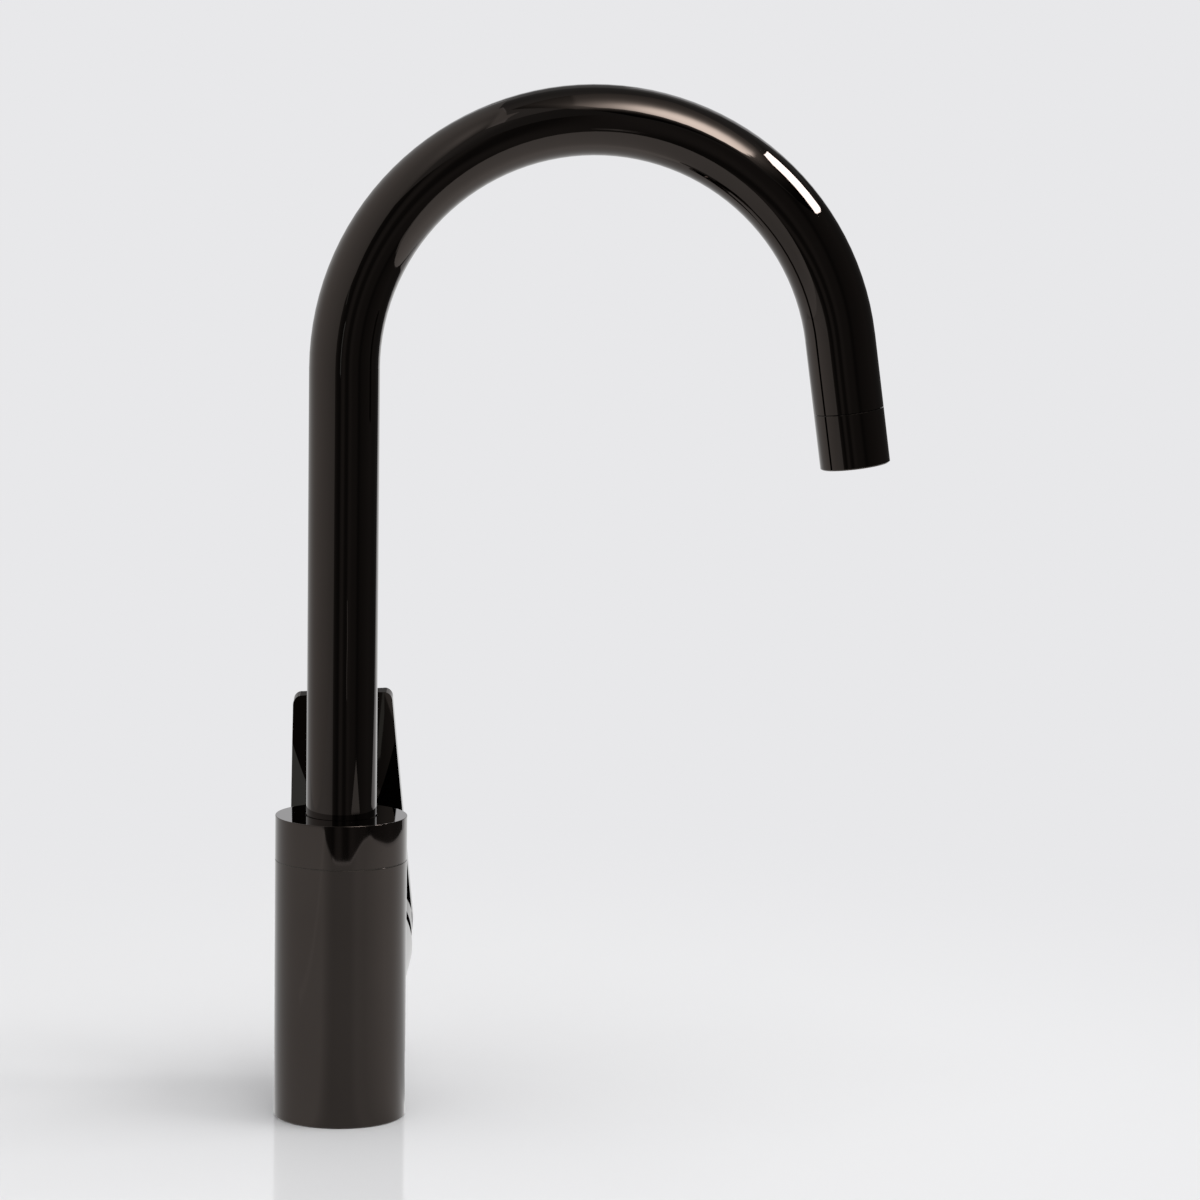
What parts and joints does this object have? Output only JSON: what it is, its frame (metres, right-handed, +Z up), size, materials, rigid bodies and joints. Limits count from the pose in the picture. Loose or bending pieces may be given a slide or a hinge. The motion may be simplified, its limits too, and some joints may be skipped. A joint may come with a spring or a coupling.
{
  "type": "kitchen mixer tap",
  "caption": "Single-lever kitchen mixer tap with a tall swivelling arched spout and a side lever on an upright round body.",
  "frame": {"origin": "centre of the body's base, on the deck that the tap stands on, at the mouth of the stud hole", "axes": "+Z up; -Y is the front, where the spout reaches over the sink and the user stands; +X is the user's right, where the lever is"},
  "size_m": [0.1088, 0.2168, 0.369],
  "materials": {
    "black_chrome": "polished black chrome plating, mirror gloss, warm dark tone",
    "brass": "machined brass",
    "steel": "plain stainless steel",
    "screen_steel": "fine stainless mesh",
    "seal_rubber": "black rubber",
    "seal_red": "red silicone",
    "slip_plastic": "black slip ring",
    "bearing_plastic": "white bearing plastic",
    "aerator_plastic": "dark grey plastic",
    "cartridge_plastic": "white cartridge plastic",
    "rotor_plastic": "grey moulded plastic",
    "carrier_plastic": "blue moulded plastic",
    "plug_plastic": "black plug",
    "ceramic": "lapped alumina"
  },
  "bodies": {
    "fixed": {"mixer_body": "black_chrome", "base_gasket": "seal_rubber", "slip_ring": "slip_plastic", "swivel_screw": "steel", "cartridge_base": "cartridge_plastic", "port_seals": "seal_rubber", "disc_seals": "seal_red", "fixed_disc": "ceramic", "cartridge_housing": "cartridge_plastic", "retaining_nut": "brass", "dome_cap": "black_chrome"},
    "spout": {"collar": "black_chrome", "spout_tube": "black_chrome", "spout_bushing": "brass", "bushing_o_rings": "seal_rubber", "bearing_rings": "bearing_plastic", "outlet_nipple": "black_chrome", "outlet_ring": "black_chrome", "aerator_washer": "seal_rubber", "aerator_body": "aerator_plastic", "aerator_screen": "screen_steel"},
    "mixing_rotor": {"rotor": "rotor_plastic", "pivot_pin": "steel"},
    "lever": {"stem": "steel", "lever_handle": "black_chrome", "lever_screw": "steel", "index_plug": "plug_plastic"},
    "disc_slide": {"moving_disc": "ceramic", "disc_carrier": "carrier_plastic"}
  },
  "joints": [
    {"name": "spout_swivel", "type": "hinge", "parent": "fixed", "child": "spout", "pos_m": [0, 0, 0.0933], "axis": [0, 0, 1], "range_deg": [-80, 70]},
    {"name": "temperature_turn", "type": "hinge", "parent": "fixed", "child": "mixing_rotor", "pos_m": [0.039, 0, 0.052], "axis": [1, 0, 0], "range_deg": [-41.6, 48.4]},
    {"name": "lever_tilt", "type": "hinge", "parent": "mixing_rotor", "child": "lever", "pos_m": [0.039, 0, 0.052], "axis": [0, 0.9982, -0.0593], "range_deg": [0, 25]},
    {"name": "disc_travel", "type": "slide", "parent": "mixing_rotor", "child": "disc_slide", "axis": [0, 0.0593, 0.9982], "range_m": [0, 0.00304]}
  ],
  "couplings": [
    {"joint": "disc_travel", "follows": "lever_tilt", "m_per_rad": 0.0069446}
  ]
}
